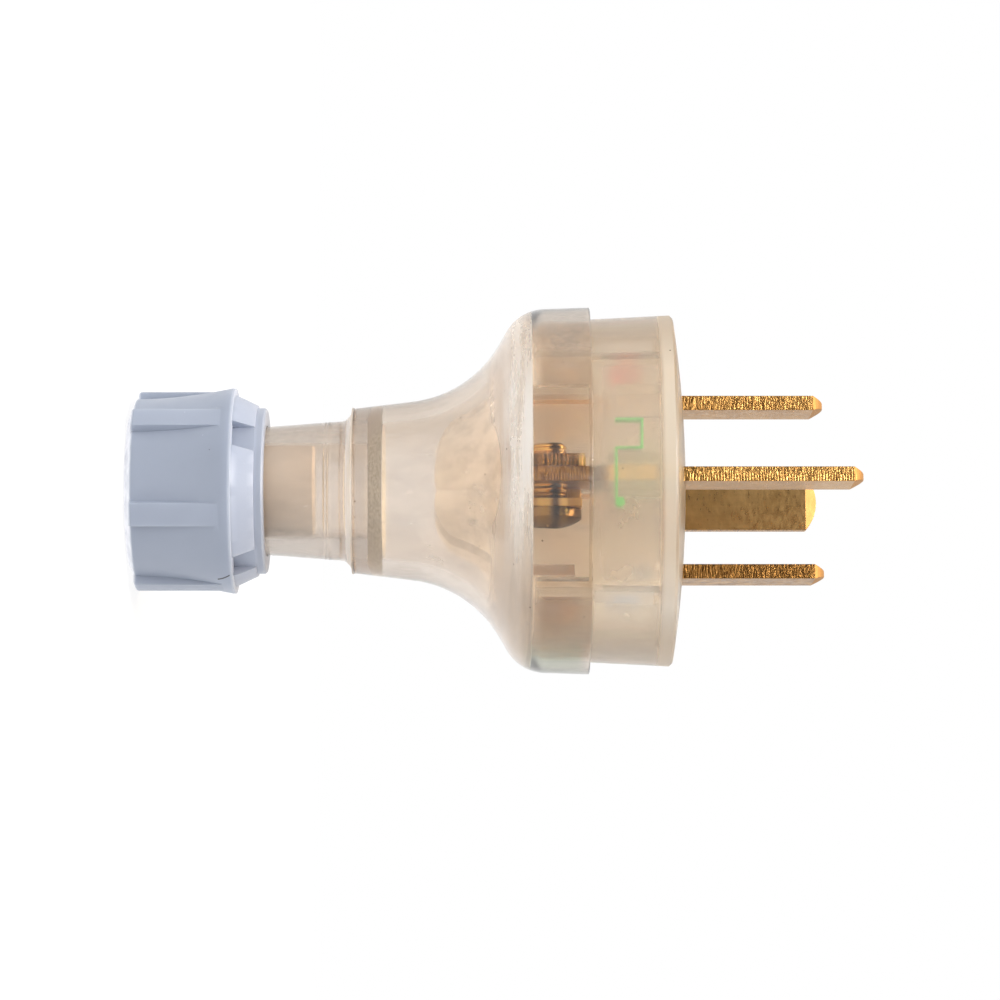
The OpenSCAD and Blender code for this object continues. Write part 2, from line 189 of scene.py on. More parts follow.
def node(nt, kind, ins=None, **props):
    """A new node with its settings and inputs."""
    n = nt.nodes.new(kind)
    for key, value in props.items():
        setattr(n, key, value)
    plug_in(nt, n, ins or {})
    return n


def vec(nt, op, a, b=(0, 0, 0)):
    """Vector operation, with a number or a vector as its result."""
    n = node(nt, "ShaderNodeVectorMath", {0: a, 1: b}, operation=op)
    return n.outputs["Value" if op in ("DOT_PRODUCT", "LENGTH", "DISTANCE") else "Vector"]


def calc(nt, op, a, b=0.0, c=0.0):
    return node(nt, "ShaderNodeMath", {0: a, 1: b, 2: c}, operation=op).outputs[0]


def product(nt, first, *rest):
    """Several values multiplied together."""
    for value in rest:
        first = calc(nt, "MULTIPLY", first, value)
    return first


def most(nt, first, *rest):
    """The largest of several values."""
    for value in rest:
        first = calc(nt, "MAXIMUM", first, value)
    return first


def magnitude(nt, value):
    return calc(nt, "ABSOLUTE", value)


def invert(nt, mask):
    """1 where the mask is 0."""
    return calc(nt, "SUBTRACT", 1.0, mask)


def below(nt, value, limit):
    return calc(nt, "LESS_THAN", value, limit)


def add_up(nt, base, *shares):
    """A base value plus each mask times its amount."""
    for mask, amount in shares:
        base = calc(nt, "MULTIPLY_ADD", mask, amount, base)
    return base


def span(nt, value, lo, hi, to_lo=0.0, to_hi=1.0, smooth=False):
    """Maps a value from one range to another and stops at its ends."""
    return node(nt, "ShaderNodeMapRange", {0: value, 1: lo, 2: hi, 3: to_lo, 4: to_hi}, clamp=True,
                interpolation_type="SMOOTHSTEP" if smooth else "LINEAR").outputs[0]


def band(nt, value, lo, hi, soft):
    """1 between two values, with soft ends."""
    return product(nt, span(nt, value, lo - soft, lo + soft, smooth=True),
                   span(nt, value, hi + soft, hi - soft, smooth=True))


def blend(nt, fac, a, b, mode="MIX"):
    n = node(nt, "ShaderNodeMix", {0: fac, 6: a, 7: b}, data_type="RGBA", blend_type=mode)
    return n.outputs[2]


def coats(nt, tone, *layers):
    """A tone with further colours laid over it in turn, each where its mask is 1."""
    for mask, colour in layers:
        tone = blend(nt, mask, tone, colour)
    return tone


def stretch(nt, co, scale, turn=(0, 0, 0)):
    return node(nt, "ShaderNodeMapping", {"Vector": co, "Scale": scale, "Rotation": turn}).outputs[0]


def noise(nt, co, scale=1.0, detail=3.0, rough=0.55, warp=0.0):
    return node(nt, "ShaderNodeTexNoise", {"Vector": co, "Scale": scale, "Detail": detail,
                                           "Roughness": rough, "Distortion": warp}).outputs[0]


def specks(nt, co, cell, size, share):
    """Small round dots: one in a share of cells of that size."""
    v = node(nt, "ShaderNodeTexVoronoi", {"Vector": co, "Scale": 1.0 / cell, "Randomness": 1.0})
    near = span(nt, v.outputs["Distance"], size / cell, size / cell * 0.6)
    pick = node(nt, "ShaderNodeSeparateColor", {0: v.outputs["Color"]})
    return product(nt, near, below(nt, pick.outputs[0], share))


def bump(nt, height, depth, strength=1.0, under=None):
    ins = {"Height": height, "Distance": depth * MM, "Strength": strength}
    if under is not None:
        ins["Normal"] = under
    return node(nt, "ShaderNodeBump", ins).outputs[0]


def rgb(r, g, b):
    """Linear colour from 8-bit sRGB values."""
    def lin(v):
        v /= 255.0
        return v / 12.92 if v <= 0.04045 else ((v + 0.055) / 1.055) ** 2.4
    return (lin(r), lin(g), lin(b), 1.0)


def start(name):
    """A new material with its shader and the place on the object, also as x, y, height and radius."""
    s = SimpleNamespace(material=bpy.data.materials.new(name))
    s.material.use_nodes = True
    s.nt = s.material.node_tree
    s.nt.nodes.clear()
    s.out = node(s.nt, "ShaderNodeOutputMaterial")
    s.bsdf = node(s.nt, "ShaderNodeBsdfPrincipled")
    s.nt.links.new(s.bsdf.outputs[0], s.out.inputs[0])
    metres = node(s.nt, "ShaderNodeTexCoord").outputs["Object"]
    s.co = vec(s.nt, "MULTIPLY", metres, (1 / MM, 1 / MM, 1 / MM))
    s.x, s.y, s.z = node(s.nt, "ShaderNodeSeparateXYZ", {0: s.co}).outputs
    s.flat = vec(s.nt, "MULTIPLY", s.co, (1, 1, 0))
    s.radius = vec(s.nt, "LENGTH", s.flat)
    return s


def true_normal(nt):
    return node(nt, "ShaderNodeNewGeometry").outputs["True Normal"]


def lean(nt):
    """How far a face looks up, from -1 to 1."""
    return node(nt, "ShaderNodeSeparateXYZ", {0: true_normal(nt)}).outputs[2]


def inside(s):
    """1 on surfaces that look at the axis from inside a turned shell, 0 on its outside."""
    geo = node(s.nt, "ShaderNodeNewGeometry")
    dot = vec(s.nt, "DOT_PRODUCT", s.flat, geo.outputs["True Normal"])
    turned = add_up(s.nt, 1.0, (geo.outputs["Backfacing"], -2.0))
    return below(s.nt, product(s.nt, dot, turned), 0.0)


def plate(s):
    """1 on upright faces that look across the radius, such as the sides of the crossed barrier."""
    nt = s.nt
    dot = vec(nt, "DOT_PRODUCT", vec(nt, "NORMALIZE", s.flat), true_normal(nt))
    return product(nt, span(nt, magnitude(nt, dot), 0.35, 0.2), span(nt, magnitude(nt, lean(nt)), 0.4, 0.2))


def absorb(s, tone, density):
    """Tint that grows with the length of the way through the plastic."""
    v = node(s.nt, "ShaderNodeVolumeAbsorption", {"Color": tone, "Density": density})
    s.nt.links.new(v.outputs[0], s.out.inputs["Volume"])


def lamp_through(s, tint):
    """Lets the light of lamps through clear plastic, tinted once per surface."""
    path = node(s.nt, "ShaderNodeLightPath")
    clear = node(s.nt, "ShaderNodeBsdfTransparent", {0: tint})
    mix = node(s.nt, "ShaderNodeMixShader", {0: path.outputs["Is Shadow Ray"], 1: s.bsdf.outputs[0],
                                             2: clear.outputs[0]})
    s.nt.links.new(mix.outputs[0], s.out.inputs[0])


# Clear plastic of the bell
def polished_oval(s):
    """1 in a small polished oval on the shoulder, on the side of the earth terminal."""
    nt = s.nt
    across = calc(nt, "POWER", calc(nt, "DIVIDE", s.x, OVAL_HALF_WIDTH), 2.0)
    rise = calc(nt, "DIVIDE", calc(nt, "SUBTRACT", s.z, OVAL_Z), OVAL_HALF_HEIGHT)
    along = calc(nt, "POWER", rise, 2.0)
    reach = calc(nt, "SQRT", calc(nt, "ADD", across, along))
    return product(nt, span(nt, reach, 1.0, 0.85), below(nt, s.y, 0.0))


def bell_zones(s):
    """Masks of the bell's hazy, frosted and scuffed places, and of a frosted sheen ring whose pale tone is a
    painted highlight.
    """
    nt, co, z = s.nt, s.co, s.z
    m = SimpleNamespace(inner=inside(s))
    outer = invert(nt, m.inner)
    clear = invert(nt, polished_oval(s))
    m.cloud = noise(nt, co, scale=0.09, detail=3, rough=0.5)
    m.hoops = noise(nt, stretch(nt, co, (0.07, 0.07, 1.1)), detail=4, rough=0.65)
    m.low = span(nt, z, *HAZE_FADE, smooth=True)
    m.frost = product(nt, m.inner, band(nt, z, *FROST_BAND))
    m.step = product(nt, outer, band(nt, z, *STEP_FACE))
    shoulder = product(nt, m.inner, span(nt, z, *DULL_RISE, smooth=True), below(nt, z, DULL_TOP))
    seat = product(nt, band(nt, z, *SEAT_FACE), below(nt, s.radius, SEAT_REACH))
    m.dull = product(nt, most(nt, shoulder, seat), span(nt, m.hoops, 0.36, 0.6, 0.72, 1.0), clear)
    # Sheen ring on the outer shoulder: frosted, and painted pale as a painted highlight that fades towards
    # +X
    ring = product(nt, outer, span(nt, z, *SHEEN_FROST_RISE, smooth=True), below(nt, z, SHEEN_FROST_TOP))
    m.bloom = product(nt, ring, span(nt, m.hoops, 0.36, 0.62, 0.35, 1.0),
                      span(nt, s.x, *SHEEN_FROST_FADE_X, 1.0, 0.15), clear)
    scuff = noise(nt, stretch(nt, co, (0.9, 0.9, 0.14), (0.5, 0.2, 0)), detail=4, rough=0.65)
    patch = span(nt, noise(nt, co, scale=0.17, detail=2, rough=0.5), 0.48, 0.68)
    m.worn = product(nt, patch, span(nt, scuff, 0.5, 0.68))
    return m


def bell_dirt(s, m):
    """Adds masks: dirt smears, a scraped patch and dark streaks along the two sides of the bore, and a green
    patch on the skirt that is a painted reflection of the green tab.
    """
    nt, co = s.nt, s.co
    side = magnitude(nt, s.x)
    in_neck = span(nt, s.z, *NECK_FADE)
    streak = noise(nt, stretch(nt, co, (0.42, 0.42, 0.16)), detail=4, rough=0.6)
    neck_sides = product(nt, span(nt, side, *NECK_SIDES), in_neck)
    share = add_up(nt, span(nt, s.z, *SMEAR_RISE, 0.15, 0.42), (neck_sides, 0.5))
    m.smear = product(nt, span(nt, streak, 0.44, 0.62), m.inner, m.low, share)
    # Darker grey streaks along the two sides of the bore, in the neck
    mottle = noise(nt, stretch(nt, co, (0.7, 0.7, 0.42)), detail=5, rough=0.65)
    m.grime = product(nt, span(nt, mottle, 0.42, 0.68, 0.0, 0.7), m.inner, in_neck,
                      band(nt, side, *BORE_STREAK_SIDES))
    scrape = noise(nt, stretch(nt, co, (1.5, 1.5, 1.1), (0.3, 0.7, 0.2)), detail=5, rough=0.7, warp=0.6)
    place = product(nt, band(nt, s.x, *SCRAPE_X), band(nt, s.z, *SCRAPE_Z), below(nt, s.y, 0.0))
    m.scraped = product(nt, place, m.inner, span(nt, scrape, 0.45, 0.57, 0.2, 1.0))
    # Painted reflection: a green patch on the lower skirt where the green tab shows through
    m.stain = product(nt, span(nt, s.x, *GREEN_REFLECTION_X), band(nt, s.z, *GREEN_REFLECTION_Z),
                      span(nt, m.cloud, 0.3, 0.6, 0.4, 0.9))


def bell_tone(s, m):
    """Colour of the bell: fresh plastic with smears, a scrape, dark streaks by the bore, frost and dark
    specks laid over it, a green patch that is a painted reflection, sides painted darker as painted shade,
    and a pale tone on the frosted shoulder, seat and step, which on the shoulder is a painted highlight.
    """
    nt = s.nt
    fresh = blend(nt, span(nt, m.cloud, 0.35, 0.7), rgb(250, 246, 242), rgb(246, 240, 234))
    grain = noise(nt, s.co, scale=3.2, detail=3, rough=0.6)
    frosted = blend(nt, span(nt, grain, 0.35, 0.65), rgb(255, 248, 224), rgb(212, 200, 168))
    # Pale tone of the frosted shoulder, seat and step; on the shoulder it is a painted highlight, darker
    # towards the sides
    pale = blend(nt, span(nt, m.hoops, 0.4, 0.56), rgb(238, 228, 214), rgb(255, 253, 249))
    pale = coats(nt, pale,
                 (span(nt, s.x, *HIGHLIGHT_UPPER_FADE_X, 0.0, 0.7), rgb(236, 224, 208)),
                 (span(nt, s.x, *HIGHLIGHT_LOWER_FADE_X), rgb(212, 199, 181)))
    flank = calc(nt, "DIVIDE", s.x, s.radius)
    return coats(nt, fresh,
                 (m.smear, rgb(150, 146, 142)),
                 (m.grime, rgb(140, 134, 128)),
                 (product(nt, m.scraped, 0.85), rgb(116, 108, 100)),
                 (m.stain, rgb(150, 200, 174)),
                 (m.frost, frosted),
                 (span(nt, s.x, *BELL_LOWER_SHADE_X, 0.0, 0.6), rgb(232, 224, 213)),
                 (span(nt, flank, *BELL_UPPER_EDGE_SHADE, 0.0, 0.9), rgb(226, 215, 200)),
                 (most(nt, m.dull, m.bloom, m.step), pale),
                 (specks(nt, s.co, cell=2.4, size=0.12, share=0.4), rgb(96, 76, 56)))


def clear_plastic():
    """Clear bell: polished skirt, duller throat and neck, frosted shoulder and step, dirt and wear."""
    s = start("clear_plastic")
    nt = s.nt
    m = bell_zones(s)
    bell_dirt(s, m)
    rough = add_up(nt, 0.04,
                   (m.worn, 0.22),
                   (span(nt, s.z, *SATIN_FADE, smooth=True), 0.06),
                   (product(nt, m.inner, m.low), 0.05),
                   (most(nt, m.dull, m.bloom), 0.25),
                   (most(nt, m.frost, m.step), 0.4))
    clearness = add_up(nt, 0.995,
                       (m.low, -0.07),
                       (m.worn, -0.1),
                       (m.dull, -0.85),
                       (m.bloom, -0.55),
                       (m.frost, -0.5),
                       (most(nt, m.step, m.grime), -0.4),
                       (m.scraped, -0.25))
    wave = product(nt, noise(nt, s.co, scale=0.13, detail=2, rough=0.4), span(nt, s.z, *WAVE_RISE, 0.3, 1.0))
    plug_in(nt, s.bsdf, {"Base Color": bell_tone(s, m), "Roughness": rough, "Transmission Weight": clearness,
                         "Normal": bump(nt, wave, 0.12, 0.3), "IOR": 1.5})
    absorb(s, (0.4, 0.25, 0.12, 1), 80)
    lamp_through(s, (0.95, 0.93, 0.9, 1))
    return s.material


# Cloudy plastic of the pin carrier
def carrier_zones(s):
    """Masks of the carrier's walls, faces, barrier arms and clearer strips."""
    nt, x, z = s.nt, s.x, s.z
    m = SimpleNamespace(cloud=noise(nt, s.co, scale=0.12, detail=4, rough=0.55))
    m.wall = span(nt, s.radius, *WALL_RISE)
    m.inner = product(nt, inside(s), m.wall)
    m.front = span(nt, z, *FRONT_RISE, smooth=True)
    m.rear = span(nt, z, *REAR_RISE, smooth=True)
    cup = span(nt, z, *CUP_RISE)
    m.cup_wall = product(nt, m.wall, cup)
    red_strip = product(nt, band(nt, x, *RED_STRIP_X), below(nt, z, RED_STRIP_TOP))
    blue_strip = product(nt, band(nt, x, *BLUE_STRIP_X), below(nt, z, BLUE_STRIP_TOP))
    hazy = add_up(nt, 1.0, (most(nt, red_strip, blue_strip), -0.8))
    m.arm = product(nt, plate(s), span(nt, z, *ARM_FADE, 1.0, 0.6), hazy)
    turn = calc(nt, "DIVIDE", product(nt, x, s.y), product(nt, s.radius, s.radius))
    m.root = product(nt, m.wall, span(nt, magnitude(nt, turn), *ROOT_TURN), below(nt, z, ROOT_TOP))
    m.flank = product(nt, m.inner, span(nt, magnitude(nt, x), *FLANK_RISE), invert(nt, cup))
    # Rim of the pin face: hazier, and painted paler as a painted highlight
    m.ring = product(nt, m.front, span(nt, magnitude(nt, lean(nt)), 0.7, 0.4))
    return m


def mark_glow(s, tone):
    """Painted glow: the plastic round the green, red and blue marks is tinted as if they shone faintly into
    it.
    """
    for place, reach, share, tint in (((1.0, -16.5, 56.5), 6.0, 0.15, rgb(206, 236, 190)),
                                      ((-11.1, -11.1, 55.3), 2.6, 0.5, rgb(250, 150, 132)),
                                      ((10.7, -10.7, 57.0), 1.8, 0.4, rgb(176, 190, 208))):
        away = vec(s.nt, "DISTANCE", s.co, place)
        tone = blend(s.nt, span(s.nt, away, reach, GLOW_CORE, 0.0, share, smooth=True), tone, tint)
    return tone


def carrier_tone(s, m):
    """Colour of the carrier: yellowed outside, paler core, a paler rim that is a painted highlight, painted
    glow round the marks, flanks painted darker as painted shade, and specks.
    """
    nt = s.nt
    walls = blend(nt, span(nt, m.cloud, 0.35, 0.7), rgb(230, 221, 208), rgb(223, 212, 197))
    face = blend(nt, span(nt, m.cloud, 0.3, 0.7), rgb(210, 192, 167), rgb(202, 182, 154))
    # The paler rim tone is a painted highlight
    shell = coats(nt, walls, (m.front, face), (m.ring, rgb(242, 231, 212)))
    core = rgb(250, 246, 240)
    tone = coats(nt, core, (most(nt, m.wall, m.front), shell), (m.arm, rgb(230, 223, 211)))
    # The lower and upper dark coats are painted shade
    return coats(nt, mark_glow(s, tone),
                 (product(nt, m.rear, 0.85), rgb(250, 245, 236)),
                 (product(nt, m.cup_wall, span(nt, s.x, *LOWER_WALL_X, 0.0, 0.8)), rgb(246, 239, 228)),
                 (span(nt, s.x, *CARRIER_LOWER_SHADE_X, 0.0, 0.9), rgb(200, 187, 170)),
                 (span(nt, s.x, *CARRIER_UPPER_SHADE_X, 0.0, 0.9), rgb(210, 193, 170)),
                 (specks(nt, s.co, cell=2.3, size=0.13, share=0.35), rgb(90, 70, 50)))


def hazy_plastic():
    """Cloudy carrier: clearest in its spigot, dullest at its pin face and on the barrier."""
    s = start("hazy_plastic")
    nt = s.nt
    m = carrier_zones(s)
    rough = add_up(nt, span(nt, m.cloud, 0.3, 0.7, 0.1, 0.15),
                   (m.inner, 0.06),
                   (m.cup_wall, 0.07),
                   (m.flank, 0.2),
                   (most(nt, m.front, m.rear, m.arm), 0.22))
    clearness = add_up(nt, 0.96,
                       (m.cup_wall, -0.12),
                       (m.ring, -0.32),
                       (most(nt, m.rear, m.arm), -0.3),
                       (m.root, -0.15),
                       (m.flank, -0.2))
    plug_in(nt, s.bsdf, {"Base Color": carrier_tone(s, m), "Roughness": rough,
                         "Transmission Weight": clearness, "IOR": 1.45})
    absorb(s, (0.4, 0.22, 0.03, 1), 16)
    lamp_through(s, (0.9, 0.86, 0.8, 1))
    return s.material


# Opaque plastics
def hair_mark(s):
    """A short bent hair stuck to one panel of the nut near its rim."""
    nt = s.nt
    side = vec(nt, "DOT_PRODUCT", s.co, HAIR_ACROSS)
    bend = product(nt, calc(nt, "POWER", span(nt, s.z, *HAIR_Z), 1.7), HAIR_BEND)
    gap = magnitude(nt, calc(nt, "SUBTRACT", side, calc(nt, "ADD", bend, HAIR_SIDE)))
    return product(nt, span(nt, gap, *HAIR_EDGE), band(nt, s.z, *HAIR_Z, HAIR_SOFT), below(nt, s.y, 0.0))


def nut_plastic():
    """Blue-grey nut: pale painted highlight at its foot, rim and cone, pale and dark specks, one hair."""
    s = start("nut_plastic")
    nt, co = s.nt, s.co
    flow = noise(nt, co, scale=0.11, detail=3, rough=0.5)
    fresh = blend(nt, span(nt, flow, 0.3, 0.7), rgb(154, 162, 178), rgb(161, 169, 185))
    # Painted highlight: the foot bevel and rim lip are painted pale in patches, and the cone band is painted
    # paler
    edges = most(nt, span(nt, s.z, *FOOT_HIGHLIGHT_FADE), product(nt, band(nt, s.z, *RIM_HIGHLIGHT_BAND), 0.12))
    patchy = span(nt, noise(nt, co, scale=0.5, detail=3, rough=0.6), 0.25, 0.6, 0.5, 1.0)
    pale = specks(nt, co, cell=1.6, size=0.07, share=0.3)
    dark = specks(nt, stretch(nt, co, (1, 1, 1), (0.3, 0.6, 0.9)), cell=3.4, size=0.1, share=0.3)
    tone = coats(nt, fresh,
                 (product(nt, edges, patchy), rgb(236, 237, 243)),
                 (band(nt, s.z, *CONE_HIGHLIGHT_BAND), rgb(168, 176, 193)),
                 (product(nt, pale, 0.5), rgb(225, 228, 236)),
                 (product(nt, dark, 0.6), rgb(96, 92, 92)),
                 (hair_mark(s), rgb(52, 46, 46)))
    rough = span(nt, noise(nt, co, scale=0.4, detail=3, rough=0.6), 0.3, 0.7, 0.36, 0.5)
    waves = bump(nt, noise(nt, co, scale=0.18, detail=2, rough=0.5), 0.1, 0.12)
    grain = bump(nt, noise(nt, co, scale=3.2, detail=2, rough=0.6), 0.02, 0.25, waves)
    plug_in(nt, s.bsdf, {"Base Color": tone, "Roughness": rough, "Normal": grain, "IOR": 1.46,
                         "Subsurface Weight": 0.3, "Subsurface Radius": (1.0, 1.0, 1.0),
                         "Subsurface Scale": 2.5 * MM})
    return s.material


def grip_plastic():
    """Off-white plastic of the cord grip, with a fine grain."""
    s = start("grip_plastic")
    nt, co = s.nt, s.co
    mottle = span(nt, noise(nt, co, scale=0.2, detail=3, rough=0.5), 0.35, 0.7)
    satin = noise(nt, co, scale=0.7, detail=3, rough=0.6)
    grain = noise(nt, co, scale=2.4, detail=2, rough=0.6)
    plug_in(nt, s.bsdf, {"Base Color": blend(nt, mottle, rgb(253, 249, 241), rgb(248, 241, 229)),
                         "Roughness": span(nt, satin, 0.3, 0.7, 0.45, 0.65),
                         "Normal": bump(nt, grain, 0.03, 0.3)})
    return s.material


def tab_plastic(name, tone_a, tone_b):
    """Coloured plastic of a mark beside a terminal, mottled between two tones."""
    s = start(name)
    nt, co = s.nt, s.co
    mottle = span(nt, noise(nt, co, scale=0.5, detail=3, rough=0.5), 0.35, 0.65)
    satin = noise(nt, co, scale=0.9, detail=2, rough=0.5)
    grain = noise(nt, co, scale=3.0, detail=2, rough=0.5)
    plug_in(nt, s.bsdf, {"Base Color": blend(nt, mottle, tone_a, tone_b),
                         "Roughness": span(nt, satin, 0.3, 0.7, 0.4, 0.6),
                         "Normal": bump(nt, grain, 0.02, 0.3)})
    return s.material


# Brass
def rolled_brass(s, light):
    """Adds tone, roll grain and cross scratches. light is how far the tone goes to pale gold."""
    nt, co = s.nt, s.co
    s.grain = noise(nt, stretch(nt, co, (2.6, 2.6, 0.16)), detail=4, rough=0.6)
    s.cross = noise(nt, stretch(nt, co, (0.9, 0.9, 2.2), (0.4, 0.5, 0.2)), detail=5, rough=0.7)
    stain = noise(nt, co, scale=0.42, detail=4, rough=0.65)
    pits = specks(nt, co, cell=0.5, size=0.05, share=0.3)
    gold = blend(nt, span(nt, stain, 0.35, 0.7), rgb(214, 170, 110), rgb(186, 142, 84))
    s.tone = coats(nt, gold,
                   (span(nt, s.grain, 0.42, 0.7, 0.0, 0.25), rgb(160, 116, 66)),
                   (span(nt, s.cross, 0.5, 0.7, 0.0, 0.3), rgb(236, 196, 132)),
                   (light, rgb(250, 214, 150)),
                   (product(nt, pits, 0.55), rgb(104, 68, 36)))
    s.relief = bump(nt, calc(nt, "ADD", s.grain, s.cross), 0.01, 0.6)


def tarnish(s, age):
    """Brown patches that spread with age."""
    brown = noise(s.nt, s.co, scale=0.7, detail=5, rough=0.6)
    share = span(s.nt, brown, 0.58 - 0.5 * age, 0.88 - 0.3 * age, 0.0, 0.85)
    s.tone = blend(s.nt, share, s.tone, rgb(118, 76, 30))


def screw_thread(s, pitch):
    """Painted shade in the thread's grooves round the shank of the earth screw, which lies along X, with
    their relief.
    """
    nt = s.nt
    turns = calc(nt, "SINE", product(nt, s.x, 2 * math.pi / pitch))
    rise = calc(nt, "POWER", calc(nt, "SUBTRACT", s.z, SCREW_Z), 2.0)
    depth = calc(nt, "POWER", calc(nt, "SUBTRACT", s.y, SCREW_Y), 2.0)
    shank = below(nt, calc(nt, "ADD", rise, depth), SCREW_R ** 2)
    # Painted shade: the grooves are painted dark
    s.tone = blend(nt, product(nt, shank, span(nt, turns, 0.2, -0.6)), s.tone, rgb(46, 26, 10))
    s.relief = bump(nt, product(nt, turns, shank), 0.08, 1.0, s.relief)


def sheared_edges(s, axis, teeth, teeth_x, aged):
    """Ridges from shearing on faces along an axis, with even teeth on the side past teeth_x; the grooves are
    painted darker and the crests paler, as painted shade and highlight on the ridges.
    """
    nt = s.nt
    facing = vec(nt, "DOT_PRODUCT", true_normal(nt), axis)
    edge = span(nt, magnitude(nt, facing), 0.6, 0.85)
    ridge = noise(nt, stretch(nt, s.co, (0.7, 0.7, 6.5)), detail=3, rough=0.65, warp=0.4)
    if teeth:
        row = calc(nt, "SINE", product(nt, s.z, 2 * math.pi / teeth))
        side = span(nt, s.x, teeth_x - TEETH_SOFT, teeth_x + TEETH_SOFT)
        ridge = add_up(nt, ridge, (product(nt, row, side), 0.14))
    # Painted shade in the grooves and painted highlight on the crests of the ridges
    groove = rgb(46, 27, 10) if aged else rgb(94, 57, 25)
    crest_highlight = rgb(152, 109, 58) if aged else rgb(200, 154, 90)
    s.tone = blend(nt, edge, s.tone, blend(nt, span(nt, ridge, 0.3, 0.62), groove, crest_highlight))
    s.relief = bump(nt, product(nt, ridge, edge), 0.14, 1.0, s.relief)


def painted_light_bands(s, bands, share, colour):
    """Bands of height painted as highlight or as shade."""
    for lo, hi in bands:
        s.tone = blend(s.nt, product(s.nt, band(s.nt, s.z, lo, hi, BAND_SOFT), share), s.tone, colour)


def dark_rear(s, share):
    """The rear of a pin, inside the plug, is darker."""
    rear = span(s.nt, s.z, *PIN_REAR, 0.0, share, smooth=True)
    s.tone = blend(s.nt, rear, s.tone, rgb(118, 78, 36), "MULTIPLY")


def painted_glow_where_held(s):
    """The stretch of a pin that the carrier holds is painted pale and less metallic, as a painted glow of
    the light scattered in the plastic round it.
    """
    nt = s.nt
    held = band(nt, s.z, *PIN_HELD)
    plug_in(nt, s.bsdf, {"Metallic": add_up(nt, 1.0, (held, -0.75)),
                         "Base Color": blend(nt, held, s.tone, rgb(244, 196, 116))})


def brass(name, edge_axis=None, teeth=0.0, teeth_x=0.0, age=0.0, thread=0.0, polish=1.0, indoors=0.0,
          light=0.0, shine=(), shade=()):
    """Rolled brass: scratched faces, ridges on faces along edge_axis with painted shade and highlight,
    tarnish by age, painted highlight and shade bands, painted shade in a thread and under a screw head, dark
    rear indoors, and a painted glow where the carrier holds a pin.
    """
    s = start(name)
    nt = s.nt
    rolled_brass(s, light)
    if age:
        tarnish(s, age)
    if thread:
        screw_thread(s, thread)
    if edge_axis is not None:
        sheared_edges(s, edge_axis, teeth, teeth_x, age > 0)
    painted_light_bands(s, shade, 0.85, rgb(58, 36, 14))
    painted_light_bands(s, shine, 0.8, rgb(246, 204, 124))
    # Painted shade: the lower part of the screw head is painted dark
    if thread:
        s.tone = blend(nt, span(nt, s.x, *SCREW_HEAD_SHADE_X, 0.0, 0.8), s.tone, rgb(66, 46, 26))
    if indoors:
        dark_rear(s, indoors)
    tip = product(nt, span(nt, lean(nt), 0.15, 0.4), span(nt, s.z, *PIN_TIP))
    s.tone = blend(nt, tip, s.tone, rgb(178, 128, 70))
    rough = add_up(nt, span(nt, s.cross, 0.3, 0.7, 0.24 * polish, 0.42 * polish), (tip, 0.25))
    plug_in(nt, s.bsdf, {"Base Color": s.tone, "Roughness": rough, "Normal": s.relief, "Metallic": 1.0})
    if indoors:
        painted_glow_where_held(s)
    return s.material


# Mesh helpers
WELD_GAP = 0.002
FLAT_ANGLE = 0.4
EDGE_ANGLE = 35
EDGE_SEGMENTS = 2


def arc(centre, r, a0, a1, n):
    """Points of an arc in n steps."""
    out = []
    for i in range(n + 1):
        a = math.radians(a0 + (a1 - a0) * i / n)
        out.append((centre[0] + r * math.cos(a), centre[1] + r * math.sin(a)))
    return out


def round_corners(corners, n=5):
    """Closed outline from corners and their radii, with tangent curves at corners that have one."""
    out = []
    for i, (p, r) in enumerate(corners):
        if not r:
            out.append(p)
            continue
        a = Vector(corners[i - 1][0])
        b = Vector(corners[(i + 1) % len(corners)][0])
        p = Vector(p)
        u, v = (a - p).normalized(), (b - p).normalized()
        half = math.acos(max(-1, min(1, u.dot(v)))) / 2
        cut = min(r / math.tan(half), (a - p).length * 0.49, (b - p).length * 0.49)
        s, e = p + u * cut, p + v * cut
        for k in range(n + 1):
            t = k / n
            q = s * (1 - t) ** 2 + p * 2 * t * (1 - t) + e * t ** 2
            out.append((q.x, q.y))
    return out


def densify(pts, step):
    """Outline with points added so that no stretch is longer than a step."""
    out = []
    for i, p in enumerate(pts):
        q = pts[(i + 1) % len(pts)]
        k = max(1, math.ceil(math.hypot(q[0] - p[0], q[1] - p[1]) / step))
        out += [(p[0] + (q[0] - p[0]) * j / k, p[1] + (q[1] - p[1]) * j / k) for j in range(k)]
    return out


def lathe(name, outline, shape, seg):
    """Turns a closed outline in (radius, height) round Z; shape gives the radius at each angle."""
    bm = bmesh.new()
    rings = []
    for r, z in outline:
        ring = []
        for k in range(seg):
            a = 2 * math.pi * k / seg
            rr = shape(r, z, a)
            ring.append(bm.verts.new((rr * MM * math.cos(a), rr * MM * math.sin(a), z * MM)))
        rings.append(ring)
    for i, ring in enumerate(rings):
        nxt = rings[(i + 1) % len(rings)]
        for k in range(seg):
            bm.faces.new((ring[k], ring[(k + 1) % seg], nxt[(k + 1) % seg], nxt[k]))
    bmesh.ops.recalc_face_normals(bm, faces=bm.faces)
    me = bpy.data.meshes.new(name)
    bm.to_mesh(me)
    bm.free()
    me.shade_smooth()
    me.set_sharp_from_angle(angle=math.radians(BELL_SHARP_ANGLE))
    ob = bpy.data.objects.new(name, me)
    scene.collection.objects.link(ob)
    return ob


